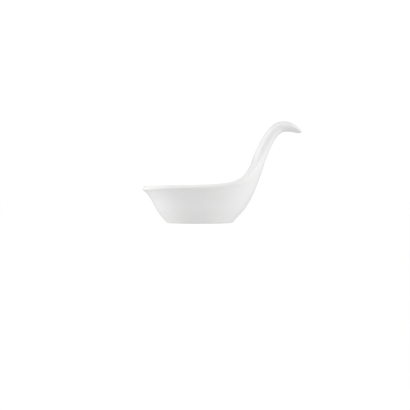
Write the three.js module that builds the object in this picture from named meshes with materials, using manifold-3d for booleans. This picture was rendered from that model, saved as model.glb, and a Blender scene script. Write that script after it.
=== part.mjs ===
// A glazed porcelain sauce spoon: an oval bowl with a turned-out lip on a low foot ring, and a swan-neck
// handle that grows out of the raised back of the rim and hooks over at the top.
// Millimetres. X runs from the pouring tip to the handle, Y across the bowl and Z up from the table.

import * as THREE from "three";
import Module from "manifold-3d";

// Bowl: reaches are from its middle along X, heights from the table
const TIP_REACH = 43.2; // edge of the lip at the pouring tip
const BOWL_WIDTH = 60; // across the edge of the lip
const EDGE_HEIGHT = 26.75; // edge of the lip at the sides
const TIP_DROP = 1.4; // how much lower the lip is at the tip
const WAIST_REACH = 36.8; // front wall, where it turns out into the lip
const WAIST_HEIGHT = 17.9;
const BELLY_REACH = 31.6; // front wall, where it has turned up from the foot
const BELLY_HEIGHT = 8.3;
const BACK_WAIST_REACH = 41.3; // back wall, on its way up to the neck
const BACK_WAIST_HEIGHT = 23.1;
const BACK_BELLY_REACH = 34; // back wall, where it has turned up from the foot
const BACK_BELLY_HEIGHT = 10.4;
const WALL = 3; // wall above the foot
const LIP = 3.2; // thickness of the lip
const LIP_ROLL = 1.2; // how far its crown is rolled up
const FLOOR = 3.2;
const FLOOR_INSET = 1.6; // edge of the floor inside the outline of the foot
const FLOOR_RISE = 0.5; // how far the floor turns up at its edge
const SWEEP_HOLD = 3; // how long the rim keeps its height beside the neck and the tip
const SWEEP_EASE = 1.45; // how gently it sweeps away from the sides

// Foot ring: ground flat on the table, with a shallow recess inside it
const FOOT_LENGTH = 50.4;
const FOOT_WIDTH = 34;
const FOOT_HEIGHT = 1.5;
const FOOT_RING = 3.6; // width of the ring
const FOOT_STEP = 1.2; // how far the wall starts outside the ring
const FOOT_ROUND = 0.5; // height of its rounded edges
const GRINDING = 0.35; // ground off its underside
const RECESS = 0.7; // how far the recess rises above the ring

// Swan-neck handle: its spine runs from the root up the neck, over the crest and down to the tip of the hook
const ROOT_REACH = 47; // where the back wall has become the back of the neck
const ROOT_HEIGHT = 39.2;
const NECK_LEAN = 20; // degrees off upright
const NECK_RUN = 22; // pull of the straight neck on the spine
const NECK_THICKNESS = 10.1;
const NECK_WIDTH = 15;
const NECK_BLEND = 3.2; // how late the wall thickens into the neck
const NECK_DRAW = 0.5; // how much the back wall is drawn in towards the neck
const LIP_TURN = 95; // degrees round the neck from its back to where the lip runs up it
const NECK_FLARE = 12; // how much wider the neck is at its root
const FLARE_RUN = 22; // length in which it narrows
const CREST_REACH = 63.9; // spine at its highest
const CREST_HEIGHT = 72.6;
const CREST_RUN = 8.3; // pull of the level crest on the spine, before it
const CREST_THICKNESS = 8.4;
const CREST_WIDTH = 14.6;
const HOOK_REACH = 76.9; // tip of the hook
const HOOK_HEIGHT = 68.4;
const HOOK_DROOP = 22; // degrees below level at the tip
const HOOK_RUN = 5.3; // pull of the level crest on the spine, after it
const HOOK_THICKNESS = 3.1;
const HOOK_WIDTH = 11;
const HOOK_ROUND = 5; // length of its rounded end seen from above
const HOOK_NOSE = 3; // length of its rounded end seen from the side

// The handle is cut off level and stuck to the bowl with slip
const JOINT_RISE = 5.8; // joint above the root
const SLIP = 0.6;

// Fineness of the mesh
const COLUMNS = 16; // round the bowl
const ROOT_COLUMNS = 2; // on each side of the back, which run up into the neck
const WALL_ROWS = 5; // up the wall
const ROW_CROWDING = 1.6; // how much the rows draw together below the lip
const SECTIONS = 9; // along the handle
const FIT_PASSES = 40;

const footReach = FOOT_LENGTH / 2;
const footHalfWidth = FOOT_WIDTH / 2;
const recessHeight = FOOT_HEIGHT + RECESS;
const floorHeight = recessHeight + FLOOR;
const jointHeight = ROOT_HEIGHT + JOINT_RISE;
const sectionCorners = 4 * ROOT_COLUMNS + 4;

// Wall outlines from the foot to the lip: down the front, across the side and up the back
const wallStart = new THREE.Vector2(footReach + FOOT_STEP, FOOT_HEIGHT + FOOT_ROUND);
const frontWall = new THREE.SplineCurve([
  wallStart,
  new THREE.Vector2(BELLY_REACH, BELLY_HEIGHT),
  new THREE.Vector2(WAIST_REACH, WAIST_HEIGHT),
  new THREE.Vector2(TIP_REACH, EDGE_HEIGHT - TIP_DROP),
]);
const backWall = new THREE.SplineCurve([
  wallStart,
  new THREE.Vector2(BACK_BELLY_REACH, BACK_BELLY_HEIGHT),
  new THREE.Vector2(BACK_WAIST_REACH, BACK_WAIST_HEIGHT),
  new THREE.Vector2(ROOT_REACH, ROOT_HEIGHT),
]);
const halfWidthAt = (reach) =>
  THREE.MathUtils.mapLinear(reach, wallStart.x, TIP_REACH, footHalfWidth + FOOT_STEP, BOWL_WIDTH / 2);
const sideWall = new THREE.SplineCurve([
  new THREE.Vector2(halfWidthAt(wallStart.x), wallStart.y),
  new THREE.Vector2(halfWidthAt(BELLY_REACH), BELLY_HEIGHT),
  new THREE.Vector2(halfWidthAt(WAIST_REACH), WAIST_HEIGHT),
  new THREE.Vector2(halfWidthAt(TIP_REACH), EDGE_HEIGHT),
]);

// How far the rim has swept from its height at the sides to its height at the tip or the neck
const sweep = (angle) => (1 - Math.abs(Math.sin(angle)) ** SWEEP_HOLD) ** SWEEP_EASE;

const towardsNeck = (angle) => (Math.cos(angle) > 0 ? sweep(angle) : 0);
const intoNeck = (angle, up) => (towardsNeck(angle) * up) ** NECK_BLEND;

// Outer wall at an angle round the bowl, 0 at the back, and a share of the way up
function wallPoint(angle, up) {
  const across = Math.sin(angle) * (1 - NECK_DRAW * intoNeck(angle, up));
  const along = Math.sign(Math.cos(angle)) * Math.sqrt(1 - across ** 2);
  const side = sideWall.getPointAt(up);
  const end = (along > 0 ? backWall : frontWall).getPointAt(up);
  const height = THREE.MathUtils.lerp(side.y, end.y, sweep(angle));
  return new THREE.Vector3(end.x * along, side.x * across, height);
}

// Direction from the outer wall into the clay
function inwardFrom(angle, up) {
  const step = 0.001;
  const rise = wallPoint(angle, Math.min(up + step, 1)).sub(wallPoint(angle, Math.max(up - step, 0)));
  const across = wallPoint(angle + step, up).sub(wallPoint(angle - step, up));
  return rise.cross(across).normalize();
}

// The wall is about even up to the lip, except at the back, where it thickens into the neck
function wallThickness(angle, up) {
  return THREE.MathUtils.lerp(WALL, LIP, up) + (NECK_THICKNESS - LIP) * intoNeck(angle, up);
}

function innerPoint(angle, up) {
  return wallPoint(angle, up).addScaledVector(inwardFrom(angle, up), wallThickness(angle, up));
}

function crownPoint(angle) {
  const crown = wallPoint(angle, 1).lerp(innerPoint(angle, 1), 0.5);
  crown.z += LIP_ROLL * (1 - towardsNeck(angle));
  return crown;
}

// An oval that keeps the same distance inside the outline of the foot all round
function footPoint(angle, inset, height) {
  const x = (footReach - inset) * Math.cos(angle);
  const y = (footHalfWidth - inset) * Math.sin(angle);
  return new THREE.Vector3(x, y, height);
}

// Rings of the bowl, from the recess out over the foot, up the wall, over the lip and in to the floor,
// and which of them is the outer edge of the lip
function bowlRings() {
  // Rows of the wall draw together below the lip, except at the back, where they go on into the neck
  const rows = Array.from({ length: WALL_ROWS + 1 }, (_, row) => row / WALL_ROWS);
  const shareUp = (row, angle) => THREE.MathUtils.lerp(1 - (1 - row) ** ROW_CROWDING, row, towardsNeck(angle));
  const recessEdge = FOOT_RING + RECESS;
  const under = [
    (angle) => footPoint(angle, (footHalfWidth + recessEdge) / 2, recessHeight),
    (angle) => footPoint(angle, recessEdge, recessHeight),
    (angle) => footPoint(angle, FOOT_RING, FOOT_ROUND),
    (angle) => footPoint(angle, FOOT_RING / 2, -GRINDING),
    (angle) => footPoint(angle, 0, FOOT_ROUND),
  ];
  const outer = rows.map((row) => (angle) => wallPoint(angle, shareUp(row, angle)));
  const inner = rows.slice(1).reverse().map((row) => (angle) => innerPoint(angle, shareUp(row, angle)));
  const floor = [
    (angle) => footPoint(angle, FLOOR_INSET, floorHeight + FLOOR_RISE),
    (angle) => footPoint(angle, footHalfWidth / 2, floorHeight),
  ];
  return {
    places: [...under, ...outer, crownPoint, ...inner, ...floor],
    edge: under.length + outer.length - 1,
  };
}

// Spine of the handle in the XZ plane: its neck and its hook
function handleSpine() {
  const lean = THREE.MathUtils.degToRad(NECK_LEAN);
  const droop = THREE.MathUtils.degToRad(HOOK_DROOP);
  const upNeck = new THREE.Vector2(Math.sin(lean), Math.cos(lean));
  const intoNeck = new THREE.Vector2(-Math.cos(lean), Math.sin(lean));
  const root = new THREE.Vector2(ROOT_REACH, ROOT_HEIGHT).addScaledVector(intoNeck, NECK_THICKNESS / 2);
  const crest = new THREE.Vector2(CREST_REACH, CREST_HEIGHT);
  const neck = new THREE.CubicBezierCurve(
    root,
    root.clone().addScaledVector(upNeck, NECK_RUN),
    new THREE.Vector2(CREST_REACH - CREST_RUN, CREST_HEIGHT),
    crest,
  );
  const hook = new THREE.CubicBezierCurve(
    crest,
    new THREE.Vector2(CREST_REACH + HOOK_RUN, CREST_HEIGHT),
    new THREE.Vector2(HOOK_REACH - HOOK_RUN * Math.cos(droop), HOOK_HEIGHT + HOOK_RUN * Math.sin(droop)),
    new THREE.Vector2(HOOK_REACH, HOOK_HEIGHT),
  );
  const spine = new THREE.CurvePath();
  spine.add(neck);
  spine.add(hook);
  return spine;
}

// Angle round the handle from the middle of its back: the wall outside runs up into its back and sides,
// and the lip and the wall inside run up into its front
function cornerAngle(corner) {
  const half = sectionCorners / 2;
  const step = Math.min(corner, sectionCorners - corner);
  const side = THREE.MathUtils.degToRad(LIP_TURN);
  const front = THREE.MathUtils.mapLinear(step, ROOT_COLUMNS, half, side, Math.PI);
  const turn = step < ROOT_COLUMNS ? (side * step) / ROOT_COLUMNS : front;
  return corner > half ? -turn : turn;
}

// Points round the handle, from the middle of its back by way of +Y to its front and round again
function sectionPoints(spine, share) {
  const middle = spine.getPoint(share);
  const along = spine.getTangent(share);
  const [neckLength, length] = spine.getCurveLengths();
  const upNeck = Math.min((share * length) / neckLength, 1);
  const downHook = Math.max((share * length - neckLength) / (length - neckLength), 0);
  const taper = (neck, crest, hook) => THREE.MathUtils.lerp(neck, crest, upNeck) + (hook - crest) * downHook;
  const rounding = (run) => Math.sqrt(1 - Math.max(1 - ((1 - share) * length) / run, 0) ** 2);
  const thickness = taper(NECK_THICKNESS, CREST_THICKNESS, HOOK_THICKNESS) * rounding(HOOK_NOSE);
  const flare = NECK_FLARE * Math.max(1 - (share * length) / FLARE_RUN, 0) ** 2;
  const width = flare + taper(NECK_WIDTH, CREST_WIDTH, HOOK_WIDTH) * rounding(HOOK_ROUND);
  return Array.from({ length: sectionCorners }, (_, corner) => {
    const angle = cornerAngle(corner);
    const back = (thickness / 2) * Math.cos(angle);
    const y = (width / 2) * Math.sin(angle);
    return new THREE.Vector3(middle.x + along.y * back, y, middle.y - along.x * back);
  });
}

// Control cage of the whole spoon
function buildCage() {
  const points = [];
  const faces = [];
  const addLoop = (loop) => loop.map((point) => points.push(point) - 1);
  const joinLoops = (lower, upper, skip = () => false) => {
    lower.forEach((corner, k) => {
      const next = (k + 1) % lower.length;
      if (!skip(k)) faces.push([corner, lower[next], upper[next], upper[k]]);
    });
  };

  const angles = Array.from({ length: COLUMNS }, (_, column) => (2 * Math.PI * column) / COLUMNS);
  const { places, edge } = bowlRings();
  const rings = places.map((place) => addLoop(angles.map(place)));
  const [outerEdge, crown, innerEdge] = rings.slice(edge, edge + 3);
  const atRoot = (column) => column < ROOT_COLUMNS || column >= COLUMNS - ROOT_COLUMNS;
  rings.slice(1).forEach((ring, k) => {
    const overLip = k === edge || k === edge + 1;
    joinLoops(rings[k], ring, overLip ? atRoot : undefined);
  });

  const [recessMiddle, floorMiddle, hookTip] = addLoop([
    new THREE.Vector3(0, 0, recessHeight),
    new THREE.Vector3(0, 0, floorHeight),
    new THREE.Vector3(HOOK_REACH, 0, HOOK_HEIGHT),
  ]);
  angles.forEach((_, k) => {
    const next = (k + 1) % COLUMNS;
    faces.push([recessMiddle, rings[0][next], rings[0][k]]);
    faces.push([rings.at(-1)[k], rings.at(-1)[next], floorMiddle]);
  });

  // The lip is open at the back, and the edge of that opening is drawn out along the spine
  const acrossRoot = (ring) => [...ring.slice(-ROOT_COLUMNS), ...ring.slice(0, ROOT_COLUMNS + 1)];
  const outerSide = acrossRoot(outerEdge);
  const innerSide = acrossRoot(innerEdge).reverse();
  const spine = handleSpine();
  let loop = [
    ...outerSide.slice(ROOT_COLUMNS),
    crown[ROOT_COLUMNS],
    ...innerSide,
    crown[COLUMNS - ROOT_COLUMNS],
    ...outerSide.slice(0, ROOT_COLUMNS),
  ];
  for (let k = 1; k < SECTIONS; k += 1) {
    const share = k / SECTIONS;
    const place = THREE.MathUtils.lerp(share, Math.sin((share * Math.PI) / 2), share);
    const section = addLoop(sectionPoints(spine, place));
    joinLoops(loop, section);
    loop = section;
  }
  for (let k = 0; k < loop.length; k += 2) {
    faces.push([loop[k], loop[k + 1], loop[(k + 2) % loop.length], hookTip]);
  }

  // The points of the crown that the opening frees are left out
  const used = [...new Set(faces.flat())];
  const order = new Map(used.map((corner, k) => [corner, k]));
  return {
    points: used.map((corner) => points[corner]),
    faces: faces.map((face) => face.map((corner) => order.get(corner))),
  };
}

// One Catmull-Clark step. The points of the coarser mesh come first in the finer one, in their own order.
function subdivide({ points, faces }) {
  const sum = () => new THREE.Vector3();
  const corners = points.map(() => ({ faces: sum(), edges: sum(), count: 0 }));
  const edges = new Map();
  const centres = faces.map((face) => {
    const centre = face.reduce((total, corner) => total.add(points[corner]), sum()).divideScalar(face.length);
    face.forEach((a, k) => {
      const b = face[(k + 1) % face.length];
      const key = Math.min(a, b) * points.length + Math.max(a, b);
      const edge = edges.get(key) ?? { ends: [a, b], centres: sum(), index: points.length + edges.size };
      edge.centres.add(centre);
      edges.set(key, edge);
      corners[a].faces.add(centre);
      corners[a].count += 1;
    });
    return centre;
  });
  const edgePoints = [...edges.values()].map(({ ends: [a, b], centres: pair }) => {
    const middle = points[a].clone().add(points[b]).divideScalar(2);
    corners[a].edges.add(middle);
    corners[b].edges.add(middle);
    return middle.multiplyScalar(2).add(pair).divideScalar(4);
  });
  const cornerPoints = points.map((point, k) => {
    const { faces: around, edges: spokes, count } = corners[k];
    const total = around.divideScalar(count).addScaledVector(spokes, 2 / count);
    return total.addScaledVector(point, count - 3).divideScalar(count);
  });
  const finer = [...cornerPoints, ...edgePoints, ...centres];
  const edgeIndex = (a, b) => edges.get(Math.min(a, b) * points.length + Math.max(a, b)).index;
  const firstCentre = points.length + edges.size;
  const quads = faces.flatMap((face, f) =>
    face.map((corner, k) => {
      const next = face[(k + 1) % face.length];
      const previous = face[(k + face.length - 1) % face.length];
      return [corner, edgeIndex(corner, next), firstCentre + f, edgeIndex(previous, corner)];
    }),
  );
  return { points: finer, faces: quads };
}

// Smooth surface through the points of a cage, which is pushed out until the surface passes through them
function smoothThrough(cage) {
  const targets = cage.points.map((point) => point.clone());
  let smooth = subdivide(subdivide(cage));
  for (let pass = 0; pass < FIT_PASSES; pass += 1) {
    cage.points.forEach((point, k) => point.add(targets[k]).sub(smooth.points[k]));
    smooth = subdivide(subdivide(cage));
  }
  return smooth;
}

const wasm = await Module();
wasm.setup();

function solidFrom({ points, faces }) {
  const triangles = faces.flatMap(([a, b, c, d]) => [a, b, c, a, c, d]);
  const mesh = new wasm.Mesh({
    numProp: 3,
    vertProperties: Float32Array.from(points.flatMap((point) => point.toArray())),
    triVerts: Uint32Array.from(triangles),
  });
  return new wasm.Manifold(mesh);
}

function geometryFrom(solid) {
  const { vertProperties, triVerts } = solid.getMesh();
  const geometry = new THREE.BufferGeometry();
  geometry.setAttribute("position", new THREE.BufferAttribute(vertProperties, 3));
  geometry.setIndex(new THREE.BufferAttribute(triVerts, 1));
  geometry.computeVertexNormals();
  return geometry;
}

const glaze = new THREE.MeshStandardMaterial({ color: 0xf2f2f0, roughness: 0.12, metalness: 0 });
const bisque = new THREE.MeshStandardMaterial({ color: 0xe4dfd5, roughness: 0.85, metalness: 0 });

// The pieces are level slices of the smooth form, so they meet face to face
const form = solidFrom(smoothThrough(buildCage()));
const above = (height) => form.trimByPlane([0, 0, 1], height);
const between = (low, high) => above(low).trimByPlane([0, 0, -1], -high);

function piece(name, solid, material) {
  const mesh = new THREE.Mesh(geometryFrom(solid), material);
  mesh.name = name;
  return mesh;
}

const spoon = new THREE.Group();
spoon.add(
  piece("foot_ring", between(0, FOOT_HEIGHT), bisque),
  piece("bowl", between(FOOT_HEIGHT, jointHeight), glaze),
  piece("luting_slip", between(jointHeight, jointHeight + SLIP), glaze),
  piece("handle", above(jointHeight + SLIP), glaze),
);

// The origin is on the table under the middle of the overall length
const extent = new THREE.Box3().setFromObject(spoon);
spoon.position.x = -(extent.min.x + extent.max.x) / 2;

export default spoon;
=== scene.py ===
"""Looks of a glazed porcelain sauce spoon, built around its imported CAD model.

The smooth form of the CAD solids is built again from the same sizes, finer, and cut at the same levels.
Only the front of the neck's root is eased here, by less than a millimetre.
The form is worked out in millimetres, from the middle of the bowl and the table. The scene is in metres.
"""

import math

import bmesh
import bpy
from mathutils import Matrix, Vector


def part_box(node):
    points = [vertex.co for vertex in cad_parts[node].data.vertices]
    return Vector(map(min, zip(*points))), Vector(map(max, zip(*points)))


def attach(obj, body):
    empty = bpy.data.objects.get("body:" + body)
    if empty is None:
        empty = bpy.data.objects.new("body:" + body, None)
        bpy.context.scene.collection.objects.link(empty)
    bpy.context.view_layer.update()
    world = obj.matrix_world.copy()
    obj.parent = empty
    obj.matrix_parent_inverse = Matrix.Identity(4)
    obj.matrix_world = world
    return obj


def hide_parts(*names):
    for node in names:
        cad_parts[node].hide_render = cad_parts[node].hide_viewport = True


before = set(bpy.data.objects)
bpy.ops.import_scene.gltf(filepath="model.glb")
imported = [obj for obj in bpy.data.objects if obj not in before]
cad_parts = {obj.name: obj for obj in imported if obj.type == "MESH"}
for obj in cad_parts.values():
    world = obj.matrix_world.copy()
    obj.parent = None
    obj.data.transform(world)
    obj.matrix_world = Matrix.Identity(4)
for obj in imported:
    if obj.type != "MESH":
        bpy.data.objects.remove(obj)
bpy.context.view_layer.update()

# Bowl: reaches are from its middle along X, heights from the table
TIP_REACH = 43.2
BOWL_WIDTH = 60
EDGE_HEIGHT = 26.75
TIP_DROP = 1.4
WAIST_REACH = 36.8
WAIST_HEIGHT = 17.9
BELLY_REACH = 31.6
BELLY_HEIGHT = 8.3
BACK_WAIST_REACH = 41.3
BACK_WAIST_HEIGHT = 23.1
BACK_BELLY_REACH = 34
BACK_BELLY_HEIGHT = 10.4
WALL = 3
LIP = 3.2
LIP_ROLL = 1.2
FLOOR = 3.2
FLOOR_INSET = 1.6
FLOOR_RISE = 0.5
SWEEP_HOLD = 3
SWEEP_EASE = 1.45

# Foot ring
FOOT_LENGTH = 50.4
FOOT_WIDTH = 34
FOOT_HEIGHT = 1.5
FOOT_RING = 3.6
FOOT_STEP = 1.2
FOOT_ROUND = 0.5
GRINDING = 0.35
RECESS = 0.7

# Swan-neck handle
ROOT_REACH = 47
ROOT_HEIGHT = 39.2
NECK_LEAN = 20
NECK_RUN = 22
NECK_THICKNESS = 10.1
NECK_WIDTH = 15
NECK_BLEND = 3.2
NECK_DRAW = 0.5
ROOT_EASE = 0.6
ROOT_EASE_HOLD = 3
LIP_TURN = 95
NECK_FLARE = 12
FLARE_RUN = 22
CREST_REACH = 63.9
CREST_HEIGHT = 72.6
CREST_RUN = 8.3
CREST_THICKNESS = 8.4
CREST_WIDTH = 14.6
HOOK_REACH = 76.9
HOOK_HEIGHT = 68.4
HOOK_DROOP = 22
HOOK_RUN = 5.3
HOOK_THICKNESS = 3.1
HOOK_WIDTH = 11
HOOK_ROUND = 5
HOOK_NOSE = 3
JOINT_RISE = 5.8
SLIP = 0.6

# Fineness of the form
COLUMNS = 16
ROOT_COLUMNS = 2
WALL_ROWS = 5
ROW_CROWDING = 1.6
SECTIONS = 9
CURVE_STEPS = 200
FIT_PASSES = 3
LEVELS = 3
WALL_STEP = 0.001
SPINE_STEP = 0.0001
CUT_TOLERANCE = 0.0001
LEVEL_TOLERANCE = 0.001

MM = 0.001
foot_reach = FOOT_LENGTH / 2
foot_half_width = FOOT_WIDTH / 2
recess_height = FOOT_HEIGHT + RECESS
floor_height = recess_height + FLOOR
joint_height = ROOT_HEIGHT + JOINT_RISE
section_corners = 4 * ROOT_COLUMNS + 4


def mix(a, b, share):
    return a + (b - a) * share


class Outline:
    """A plane curve that is read by its length: a spline through its points, or a Bezier curve."""

    def __init__(self, points, bezier=False):
        self.points = [Vector(point) for point in points]
        self.place = self.on_bezier if bezier else self.on_spline
        self.samples = [self.place(step / CURVE_STEPS) for step in range(CURVE_STEPS + 1)]
        self.lengths = [0.0]
        for start, end in zip(self.samples, self.samples[1:]):
            self.lengths.append(self.lengths[-1] + (end - start).length)

    def on_spline(self, share):
        last = len(self.points) - 1
        at = min(int(share * last), last - 1)
        t = share * last - at
        before, start, end, after = (self.points[min(max(at + k, 0), last)] for k in (-1, 0, 1, 2))
        pull = (end - before) / 2
        push = (after - start) / 2
        cubic = (start - end) * 2 + pull + push
        square = (end - start) * 3 - pull * 2 - push
        return cubic * t**3 + square * t**2 + pull * t + start

    def on_bezier(self, share):
        a, b, c, d = self.points
        rest = 1 - share
        return a * rest**3 + b * (3 * rest**2 * share) + c * (3 * rest * share**2) + d * share**3

    def at(self, share):
        length = min(max(share, 0), 1) * self.lengths[-1]
        for step in range(CURVE_STEPS):
            if self.lengths[step + 1] >= length:
                break
        run = self.lengths[step + 1] - self.lengths[step]
        return self.place((step + (length - self.lengths[step]) / run) / CURVE_STEPS)


wall_start = (foot_reach + FOOT_STEP, FOOT_HEIGHT + FOOT_ROUND)
front_outline = [
    wall_start,
    (BELLY_REACH, BELLY_HEIGHT),
    (WAIST_REACH, WAIST_HEIGHT),
    (TIP_REACH, EDGE_HEIGHT - TIP_DROP),
]
back_outline = [
    wall_start,
    (BACK_BELLY_REACH, BACK_BELLY_HEIGHT),
    (BACK_WAIST_REACH, BACK_WAIST_HEIGHT),
    (ROOT_REACH, ROOT_HEIGHT),
]


def half_width_at(reach):
    share = (reach - wall_start[0]) / (TIP_REACH - wall_start[0])
    return mix(foot_half_width + FOOT_STEP, BOWL_WIDTH / 2, share)


side_outline = [(half_width_at(reach), height) for reach, height in front_outline[:-1]]
side_outline.append((BOWL_WIDTH / 2, EDGE_HEIGHT))
front_wall = Outline(front_outline)
back_wall = Outline(back_outline)
side_wall = Outline(side_outline)


def sweep(angle):
    """How far the rim has swept from its height at the sides to its height at the tip or the neck."""
    return (1 - abs(math.sin(angle)) ** SWEEP_HOLD) ** SWEEP_EASE


def towards_neck(angle):
    return sweep(angle) if math.cos(angle) > 0 else 0


def into_neck(angle, up):
    return (towards_neck(angle) * up) ** NECK_BLEND


def wall_point(angle, up):
    """Outer wall at an angle round the bowl, 0 at the back, and a share of the way up."""
    across = math.sin(angle) * (1 - NECK_DRAW * into_neck(angle, up))
    along = math.copysign(math.sqrt(1 - across**2), math.cos(angle))
    side = side_wall.at(up)
    end = (back_wall if along > 0 else front_wall).at(up)
    return Vector((end.x * along, side.x * across, mix(side.y, end.y, sweep(angle))))


def inward_from(angle, up):
    """Direction from the outer wall into the clay."""
    rise = wall_point(angle, min(up + WALL_STEP, 1)) - wall_point(angle, max(up - WALL_STEP, 0))
    across = wall_point(angle + WALL_STEP, up) - wall_point(angle - WALL_STEP, up)
    return rise.cross(across).normalized()


def wall_thickness(angle, up):
    """Thickness of the clay, eased in front of the neck's root so that no bulge shows there."""
    share = into_neck(angle, up)
    return mix(WALL, LIP, up) + (NECK_THICKNESS - LIP) * share - ROOT_EASE * share**ROOT_EASE_HOLD


def inner_point(angle, up):
    return wall_point(angle, up) + inward_from(angle, up) * wall_thickness(angle, up)


def crown_point(angle):
    middle = (wall_point(angle, 1) + inner_point(angle, 1)) / 2
    return middle + Vector((0, 0, LIP_ROLL * (1 - towards_neck(angle))))


def foot_point(angle, inset, height):
    x = (foot_reach - inset) * math.cos(angle)
    y = (foot_half_width - inset) * math.sin(angle)
    return Vector((x, y, height))


def bowl_rings():
    """Rings from the recess over the foot, wall and lip in to the floor, and which one is the lip's edge."""
    angles = [2 * math.pi * column / COLUMNS for column in range(COLUMNS)]

    # Rows of the wall draw together below the lip, except at the back, where they go on into the neck
    def up_at(row, angle):
        row /= WALL_ROWS
        return mix(1 - (1 - row) ** ROW_CROWDING, row, towards_neck(angle))

    recess_edge = FOOT_RING + RECESS
    under = [
        ((foot_half_width + recess_edge) / 2, recess_height),
        (recess_edge, recess_height),
        (FOOT_RING, FOOT_ROUND),
        (FOOT_RING / 2, -GRINDING),
        (0, FOOT_ROUND),
    ]
    floor = [
        (FLOOR_INSET, floor_height + FLOOR_RISE),
        (foot_half_width / 2, floor_height),
    ]
    rings = [[foot_point(angle, *place) for angle in angles] for place in under]
    rings += [[wall_point(angle, up_at(row, angle)) for angle in angles] for row in range(WALL_ROWS + 1)]
    edge = len(rings) - 1
    rings.append([crown_point(angle) for angle in angles])
    rings += [[inner_point(angle, up_at(row, angle)) for angle in angles] for row in range(WALL_ROWS, 0, -1)]
    rings += [[foot_point(angle, *place) for angle in angles] for place in floor]
    return rings, edge


def corner_angle(corner):
    """Angle round the handle: its back and sides go on from the outer wall, and its front from the lip."""
    half = section_corners // 2
    step = min(corner, section_corners - corner)
    side = math.radians(LIP_TURN)
    turn = side * step / ROOT_COLUMNS
    if step > ROOT_COLUMNS:
        turn = mix(side, math.pi, (step - ROOT_COLUMNS) / (half - ROOT_COLUMNS))
    return -turn if corner > half else turn


def handle_sections():
    """Points round each section of the handle, from the middle of its back by way of +Y."""
    lean = math.radians(NECK_LEAN)
    droop = math.radians(HOOK_DROOP)
    up_neck = Vector((math.sin(lean), math.cos(lean)))
    through_neck = Vector((-math.cos(lean), math.sin(lean)))
    root = Vector((ROOT_REACH, ROOT_HEIGHT)) + through_neck * (NECK_THICKNESS / 2)
    crest = Vector((CREST_REACH, CREST_HEIGHT))
    tip = Vector((HOOK_REACH, HOOK_HEIGHT))
    before_tip = tip + Vector((-math.cos(droop), math.sin(droop))) * HOOK_RUN
    neck = Outline([root, root + up_neck * NECK_RUN, crest - Vector((CREST_RUN, 0)), crest], True)
    hook = Outline([crest, crest + Vector((HOOK_RUN, 0)), before_tip, tip], True)
    neck_length = neck.lengths[-1]
    hook_length = hook.lengths[-1]
    length = neck_length + hook_length

    def spine(share):
        run = min(max(share, 0), 1) * length
        if run <= neck_length:
            return neck.at(run / neck_length)
        return hook.at((run - neck_length) / hook_length)

    def section(share):
        middle = spine(share)
        along = (spine(share + SPINE_STEP) - spine(share - SPINE_STEP)).normalized()
        run = share * length
        up = min(run / neck_length, 1)
        down = max((run - neck_length) / hook_length, 0)
        thickness = mix(NECK_THICKNESS, CREST_THICKNESS, up) + (HOOK_THICKNESS - CREST_THICKNESS) * down
        width = mix(NECK_WIDTH, CREST_WIDTH, up) + (HOOK_WIDTH - CREST_WIDTH) * down
        width += NECK_FLARE * max(1 - run / FLARE_RUN, 0) ** 2
        thickness *= math.sqrt(1 - max(1 - (length - run) / HOOK_NOSE, 0) ** 2)
        width *= math.sqrt(1 - max(1 - (length - run) / HOOK_ROUND, 0) ** 2)
        points = []
        for corner in range(section_corners):
            angle = corner_angle(corner)
            back = thickness / 2 * math.cos(angle)
            y = width / 2 * math.sin(angle)
            points.append(Vector((middle.x + along.y * back, y, middle.y - along.x * back)))
        return points

    shares = [k / SECTIONS for k in range(1, SECTIONS)]
    return [section(mix(share, math.sin(share * math.pi / 2), share)) for share in shares]


def build_cage():
    """Control cage of the whole spoon, and how much each of its points belongs to the edge of the lip."""
    points = []
    faces = []

    def add_loop(loop):
        points.extend(loop)
        return list(range(len(points) - len(loop), len(points)))

    def join_loops(lower, upper, skipped=()):
        for k, corner in enumerate(lower):
            after = (k + 1) % len(lower)
            if k not in skipped:
                faces.append((corner, lower[after], upper[after], upper[k]))

    places, edge = bowl_rings()
    rings = [add_loop(ring) for ring in places]
    at_root = [column % COLUMNS for column in range(-ROOT_COLUMNS, ROOT_COLUMNS)]
    for k, (lower, upper) in enumerate(zip(rings, rings[1:])):
        join_loops(lower, upper, at_root if k in (edge, edge + 1) else ())
    recess_middle, floor_middle, hook_tip = add_loop([
        Vector((0, 0, recess_height)),
        Vector((0, 0, floor_height)),
        Vector((HOOK_REACH, 0, HOOK_HEIGHT)),
    ])
    for k in range(COLUMNS):
        after = (k + 1) % COLUMNS
        faces.append((recess_middle, rings[0][after], rings[0][k]))
        faces.append((rings[-1][k], rings[-1][after], floor_middle))

    # The lip is open at the back, and the edge of that opening is drawn out along the handle
    outer, crown, inner = rings[edge : edge + 3]
    outer_side = [outer[column] for column in range(-ROOT_COLUMNS, ROOT_COLUMNS + 1)]
    inner_side = [inner[column] for column in range(ROOT_COLUMNS, -ROOT_COLUMNS - 1, -1)]
    loop = outer_side[ROOT_COLUMNS:] + [crown[ROOT_COLUMNS]] + inner_side
    loop += [crown[-ROOT_COLUMNS]] + outer_side[:ROOT_COLUMNS]
    for points_round in handle_sections():
        section = add_loop(points_round)
        join_loops(loop, section)
        loop = section
    for k in range(0, len(loop), 2):
        faces.append((loop[k], loop[k + 1], loop[(k + 2) % len(loop)], hook_tip))

    # The points of the crown that the opening frees are left out
    used = sorted({corner for face in faces for corner in face})
    order = {corner: k for k, corner in enumerate(used)}
    faces = [[order[corner] for corner in face] for face in faces]
    return [points[corner] for corner in used], faces, [float(corner in crown) for corner in used]


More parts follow.
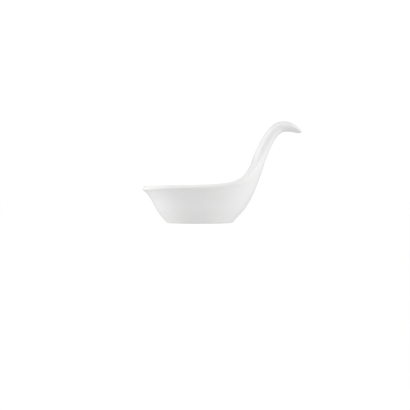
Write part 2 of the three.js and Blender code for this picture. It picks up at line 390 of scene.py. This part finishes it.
def smooth_form():
    """Fine smooth mesh that runs close by the points of the cage, in millimetres."""
    points, faces, lip = build_cage()
    mesh = bpy.data.meshes.new("cage")
    mesh.from_pydata(points, [], faces)
    mesh.attributes.new("lip", "FLOAT", "POINT").data.foreach_set("value", lip)
    cage = bpy.data.objects.new("cage", mesh)
    bpy.context.scene.collection.objects.link(cage)
    smooth = cage.modifiers.new("smooth", "SUBSURF")
    smooth.levels = 1
    for _ in range(FIT_PASSES):
        fitted = cage.evaluated_get(bpy.context.evaluated_depsgraph_get()).data
        for vert, target, reached in zip(mesh.vertices, points, fitted.vertices):
            vert.co += target - reached.co
        mesh.update()
    smooth.levels = LEVELS
    form = bmesh.new()
    form.from_mesh(cage.evaluated_get(bpy.context.evaluated_depsgraph_get()).data)
    bpy.data.objects.remove(cage)
    return form


def cut(form, height, clear_below=False):
    bmesh.ops.bisect_plane(
        form,
        geom=form.verts[:] + form.edges[:] + form.faces[:],
        dist=CUT_TOLERANCE,
        plane_co=(0, 0, height),
        plane_no=(0, 0, 1),
        clear_inner=clear_below,
    )


def slice_of(form, name, low, high):
    """A closed level slice of the form. Its skin keeps the normals of the whole form, so no joint shows."""
    piece = bmesh.new()
    lip_from = form.verts.layers.float["lip"]
    lip_to = piece.verts.layers.float.new("lip")
    copies = {}
    normals = []
    for face in form.faces:
        if not low < face.calc_center_median().z < high:
            continue
        for vert in face.verts:
            if vert not in copies:
                copies[vert] = piece.verts.new(vert.co)
                copies[vert][lip_to] = vert[lip_from]
                normals.append(vert.normal.copy())
        piece.faces.new([copies[vert] for vert in face.verts]).smooth = True
    piece.verts.index_update()
    for level, facing in ((low, -1), (high, 1)):
        open_edges = [edge for edge in piece.edges if edge.is_boundary]
        rim = [edge for edge in open_edges if abs(edge.verts[0].co.z - level) < LEVEL_TOLERANCE]
        if not rim:
            continue
        cap = bmesh.ops.triangle_fill(piece, use_beauty=True, edges=rim, normal=(0, 0, facing))
        for face in cap["geom"]:
            if isinstance(face, bmesh.types.BMFace):
                face.normal_update()
                if face.normal.z * facing < 0:
                    face.normal_flip()
    mesh = bpy.data.meshes.new(name)
    piece.to_mesh(mesh)
    piece.free()
    corners = []
    for polygon in mesh.polygons:
        skin = polygon.use_smooth
        corners += [normals[k] if skin else polygon.normal.copy() for k in polygon.vertices]
    mesh.normals_split_custom_set(corners)
    foot_low, foot_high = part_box("foot_ring")
    middle = (foot_low.x + foot_high.x) / 2
    mesh.transform(Matrix.Translation((middle, 0, 0)) @ Matrix.Scale(MM, 4))
    made = bpy.data.objects.new(name, mesh)
    bpy.context.scene.collection.objects.link(made)
    return made


# Materials
class Nodes:
    """A short way to add and link shader nodes."""

    def __init__(self, tree):
        self.tree = tree
        tree.nodes.clear()

    def add(self, kind, **settings):
        node = self.tree.nodes.new(kind)
        for name, value in settings.items():
            setattr(node, name, value)
        return node

    def set(self, socket, value):
        if isinstance(value, bpy.types.NodeSocket):
            self.tree.links.new(value, socket)
        else:
            socket.default_value = value

    def noise(self, where, scale, detail):
        node = self.add("ShaderNodeTexNoise")
        self.set(node.inputs["Vector"], where)
        self.set(node.inputs["Scale"], scale)
        self.set(node.inputs["Detail"], detail)
        return node.outputs["Fac"]

    def remap(self, value, from_low, from_high, to_low, to_high):
        node = self.add("ShaderNodeMapRange")
        names = ("Value", "From Min", "From Max", "To Min", "To Max")
        for name, number in zip(names, (value, from_low, from_high, to_low, to_high)):
            self.set(node.inputs[name], number)
        return node.outputs["Result"]

    def blend(self, share, first, second):
        # The colour sockets share their names with others, so they are taken by number
        node = self.add("ShaderNodeMix", data_type="RGBA")
        self.set(node.inputs["Factor"], share)
        self.set(node.inputs[6], first)
        self.set(node.inputs[7], second)
        return node.outputs[2]

    def maths(self, operation, first, second=0):
        node = self.add("ShaderNodeMath", operation=operation)
        self.set(node.inputs[0], first)
        self.set(node.inputs[1], second)
        return node.outputs[0]

    def bump(self, height, distance, under=None):
        node = self.add("ShaderNodeBump")
        self.set(node.inputs["Height"], height)
        self.set(node.inputs["Distance"], distance)
        if under:
            self.set(node.inputs["Normal"], under)
        return node.outputs["Normal"]

    def surface(self, **sockets):
        shader = self.add("ShaderNodeBsdfPrincipled")
        for name, value in sockets.items():
            self.set(shader.inputs[name.replace("_", " ")], value)
        output = self.add("ShaderNodeOutputMaterial")
        self.set(output.inputs["Surface"], shader.outputs[0])


GLAZE_WHITE = (0.84, 0.84, 0.835, 1)
GLAZE_POOLED = (0.82, 0.825, 0.82, 1)
# Lighter colour on the lip's crown: partly thin glaze, partly a painted highlight along the lip
LIP_GLAZE_AND_HIGHLIGHT = (0.87, 0.865, 0.85, 1)
BISQUE_PALE = (0.8, 0.78, 0.74, 1)
BISQUE_DARK = (0.72, 0.69, 0.64, 1)
GLAZE_INDEX = 1.52
GLAZE_GLOSS = (0.16, 0.24)
BISQUE_MATT = 0.85

# Noise: scale per metre and detail, the span of it that is used, and heights in metres
POOLING = (45, 3)
GLOSS_PATCHES = (120, 4)
WAVES = (60, 1)
PORES = (900, 2)
LINE_WANDER = (300, 2)
GRAIN = (2500, 3)
NOISE_SPAN = (0.3, 0.7)
POOLING_SPAN = (0.35, 0.7)
WAVE_HEIGHT = 0.00003
PORE_HEIGHT = 0.0000015
GRAIN_HEIGHT = 0.00003
GLAZE_LINE = (0.0002, 0.0004)
LINE_BLUR = 0.00004


def new_material(name):
    material = bpy.data.materials.new(name)
    material.use_nodes = True
    return material, Nodes(material.node_tree)


def glaze_parts(nodes):
    """Place, colour, roughness and normal of glaze: pooled in patches, thin on the lip and painted lighter
    there as a highlight, a little wavy.
    """
    where = nodes.add("ShaderNodeTexCoord").outputs["Object"]
    pooled = nodes.remap(nodes.noise(where, *POOLING), *POOLING_SPAN, 0, 1)
    lip = nodes.add("ShaderNodeAttribute", attribute_name="lip").outputs["Fac"]
    # The lip's crown gets the lighter colour: thin glaze plus a painted highlight
    colour = nodes.blend(lip, nodes.blend(pooled, GLAZE_WHITE, GLAZE_POOLED), LIP_GLAZE_AND_HIGHLIGHT)
    roughness = nodes.remap(nodes.noise(where, *GLOSS_PATCHES), *NOISE_SPAN, *GLAZE_GLOSS)
    wavy = nodes.bump(nodes.noise(where, *WAVES), WAVE_HEIGHT)
    normal = nodes.bump(nodes.noise(where, *PORES), PORE_HEIGHT, wavy)
    return where, colour, roughness, normal


def glaze_material():
    material, nodes = new_material("glazed_porcelain")
    _, colour, roughness, normal = glaze_parts(nodes)
    nodes.surface(Base_Color=colour, Roughness=roughness, Normal=normal, IOR=GLAZE_INDEX)
    return material


def foot_material():
    """Glaze that ends in an uneven line just above the table, and ground bisque below it."""
    material, nodes = new_material("ground_foot")
    where, glaze, gloss, normal = glaze_parts(nodes)
    height = nodes.add("ShaderNodeSeparateXYZ")
    nodes.set(height.inputs[0], where)
    line = nodes.remap(nodes.noise(where, *LINE_WANDER), *NOISE_SPAN, *GLAZE_LINE)
    bare = nodes.remap(nodes.maths("SUBTRACT", line, height.outputs["Z"]), -LINE_BLUR, LINE_BLUR, 0, 1)
    grain = nodes.noise(where, *GRAIN)
    colour = nodes.blend(bare, glaze, nodes.blend(grain, BISQUE_DARK, BISQUE_PALE))
    matt = nodes.remap(bare, 0, 1, gloss, BISQUE_MATT)
    rough = nodes.bump(nodes.maths("MULTIPLY", grain, bare), GRAIN_HEIGHT, normal)
    nodes.surface(Base_Color=colour, Roughness=matt, Normal=rough, IOR=GLAZE_INDEX)
    return material


# Pieces: slices of the one form
ABOVE_ALL = 1000

form = smooth_form()
cut(form, 0, clear_below=True)
for level in (FOOT_HEIGHT, joint_height, joint_height + SLIP):
    cut(form, level)
form.normal_update()
glaze = glaze_material()
for name, low, high, material, node, slot in (
    ("ground_foot", 0, FOOT_HEIGHT, foot_material(), "foot_ring", "bisque"),
    ("glazed_bowl", FOOT_HEIGHT, joint_height, glaze, "bowl", "glazed_porcelain"),
    ("glazed_joint", joint_height, joint_height + SLIP, glaze, "luting_slip", "glazed_porcelain"),
    ("glazed_handle", joint_height + SLIP, ABOVE_ALL, glaze, "handle", "glazed_porcelain"),
):
    piece = slice_of(form, name, low, high)
    piece.data.materials.append(material)
    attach(piece, "root")
    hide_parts(node)
form.free()

# Floor, backdrop and surroundings: white to the camera. Reflections see less in front and behind than aside
FLOOR_SIZE = 6
FLOOR_GAP = 0.00002
SHADOW_DEPTH = 0.1  # share of the floor's white that a shadow can take
SHADOW_REACH = (0.12, 0.3)  # distances from the middle between which the shadow fades out
LIT_FLOOR = 0.88  # how white the light makes that share where nothing shades it
BACKDROP_AWAY = 1.0
BACKDROP_GLOW = 0.45
BACKDROP_COLOUR = (0.6, 0.6, 0.6, 1)
FLOOR_GLOW = 0.81  # light from below, which the world gives in place of the floor
AMBIENT = (0.3, 0.8)  # light from the horizon and from straight above
REFLECTED = (0.5, 1.0)  # what reflections see in front and behind, and at the sides
REFLECTED_ASIDE = (0.3, 0.9)  # how far to the side the one turns into the other
WHITE = (1, 1, 1, 1)
BLACK = (0, 0, 0, 1)


def make_flat(name, corners):
    """A sheet of the stage that neither lights nor shades the spoon."""
    mesh = bpy.data.meshes.new(name)
    mesh.from_pydata(corners, [], [(0, 1, 2, 3)])
    flat = bpy.data.objects.new(name, mesh)
    flat.visible_diffuse = False
    flat.visible_shadow = False
    bpy.context.scene.collection.objects.link(flat)
    return flat


def whiten(nodes, glow, colour):
    """White that is part glow and part lit by the lamps."""
    bright = nodes.add("ShaderNodeEmission")
    nodes.set(bright.inputs["Strength"], glow)
    lit = nodes.add("ShaderNodeBsdfDiffuse")
    nodes.set(lit.inputs["Color"], colour)
    white = nodes.add("ShaderNodeAddShader")
    nodes.set(white.inputs[0], bright.outputs[0])
    nodes.set(white.inputs[1], lit.outputs[0])
    output = nodes.add("ShaderNodeOutputMaterial")
    nodes.set(output.inputs["Surface"], white.outputs[0])


def make_floor():
    """The lower half of the world lights the spoon in the floor's place."""
    half = FLOOR_SIZE / 2
    corners = [(-half, -half, 0), (half, -half, 0), (half, half, 0), (-half, half, 0)]
    floor = make_flat("floor", corners)
    floor.location.z = -FLOOR_GAP
    material, nodes = new_material("floor")
    away = nodes.add("ShaderNodeVectorMath", operation="LENGTH")
    nodes.set(away.inputs[0], nodes.add("ShaderNodeTexCoord").outputs["Object"])
    depth = nodes.remap(away.outputs["Value"], *SHADOW_REACH, SHADOW_DEPTH, 0)
    mirrored = nodes.add("ShaderNodeLightPath").outputs["Is Glossy Ray"]
    level = nodes.remap(mirrored, 0, 1, 1, REFLECTED[0])
    unlit = nodes.maths("SUBTRACT", 1, nodes.maths("MULTIPLY", depth, LIT_FLOOR))
    whiten(nodes, nodes.maths("MULTIPLY", unlit, level), nodes.blend(depth, BLACK, WHITE))
    floor.data.materials.append(material)


def make_backdrop():
    """Lit in part like the spoon, so that its grain is cleaned from the render together with the handle's."""
    half = FLOOR_SIZE / 2
    away = BACKDROP_AWAY
    corners = [(-half, away, -half), (half, away, -half), (half, away, half), (-half, away, half)]
    backdrop = make_flat("backdrop", corners)
    backdrop.visible_glossy = False
    material, nodes = new_material("backdrop")
    whiten(nodes, BACKDROP_GLOW, BACKDROP_COLOUR)
    backdrop.data.materials.append(material)


def make_world():
    world = bpy.data.worlds.new("studio")
    bpy.context.scene.world = world
    world.use_nodes = True
    nodes = Nodes(world.node_tree)
    background = nodes.add("ShaderNodeBackground")
    path = nodes.add("ShaderNodeLightPath").outputs
    mirrored = path["Is Glossy Ray"]
    seen = nodes.maths("MAXIMUM", path["Is Camera Ray"], mirrored)
    seen = nodes.maths("MAXIMUM", seen, path["Is Transmission Ray"])
    direction = nodes.add("ShaderNodeSeparateXYZ")
    nodes.set(direction.inputs[0], nodes.add("ShaderNodeTexCoord").outputs["Generated"])
    aside = nodes.maths("ABSOLUTE", direction.outputs["X"])
    level = nodes.remap(mirrored, 0, 1, 1, nodes.remap(aside, *REFLECTED_ASIDE, *REFLECTED))
    below = nodes.maths("LESS_THAN", direction.outputs["Z"], 0)
    above = nodes.remap(direction.outputs["Z"], 0, 1, *AMBIENT)
    ambient = nodes.remap(below, 0, 1, above, FLOOR_GLOW)
    strength = nodes.remap(seen, 0, 1, ambient, level)
    nodes.set(background.inputs["Strength"], strength)
    nodes.set(background.inputs["Color"], WHITE)
    output = nodes.add("ShaderNodeOutputWorld")
    nodes.set(output.inputs["Surface"], background.outputs[0])


# Lamps: azimuth from the camera's side of the spoon, elevation, distance, size and power
LAMPS = {
    "left": (-80, 18, 1.6, 0.95, 14.7),
    "right": (67, 18, 1.6, 0.95, 12.7),
}
LAMP_AIM = Vector((0, 0, 0.03))


def make_lamp(name, azimuth, elevation, distance, size, power):
    light = bpy.data.lights.new(name, "AREA")
    light.shape = "DISK"
    light.size = size
    light.energy = power
    lamp = bpy.data.objects.new(name, light)
    turn = math.radians(azimuth)
    rise = math.radians(elevation)
    reach = math.cos(rise) * distance
    away = Vector((math.sin(turn) * reach, -math.cos(turn) * reach, math.sin(rise) * distance))
    lamp.location = LAMP_AIM + away
    lamp.rotation_euler = (LAMP_AIM - lamp.location).to_track_quat("-Z", "Y").to_euler()
    lamp.visible_camera = False
    lamp.visible_glossy = False
    bpy.context.scene.collection.objects.link(lamp)


# Camera: level with the lip, looking along +Y and slightly down
CAMERA_DISTANCE = 0.56
CAMERA_HEIGHT = 0.0275
CAMERA_X = -0.0128
AIM_HEIGHT = 0.0134
FRAME_WIDTH = 0.31
SENSOR = 36


def make_camera():
    lens = bpy.data.cameras.new("camera")
    lens.sensor_width = SENSOR
    lens.lens = SENSOR * CAMERA_DISTANCE / FRAME_WIDTH
    camera = bpy.data.objects.new("camera", lens)
    camera.location = (CAMERA_X, -CAMERA_DISTANCE, CAMERA_HEIGHT)
    aim = Vector((CAMERA_X, 0, AIM_HEIGHT))
    camera.rotation_euler = (aim - camera.location).to_track_quat("-Z", "Y").to_euler()
    bpy.context.scene.collection.objects.link(camera)
    bpy.context.scene.camera = camera


make_floor()
make_backdrop()
make_world()
for name, settings in LAMPS.items():
    make_lamp(name, *settings)
make_camera()
bpy.context.scene.view_settings.view_transform = "Standard"
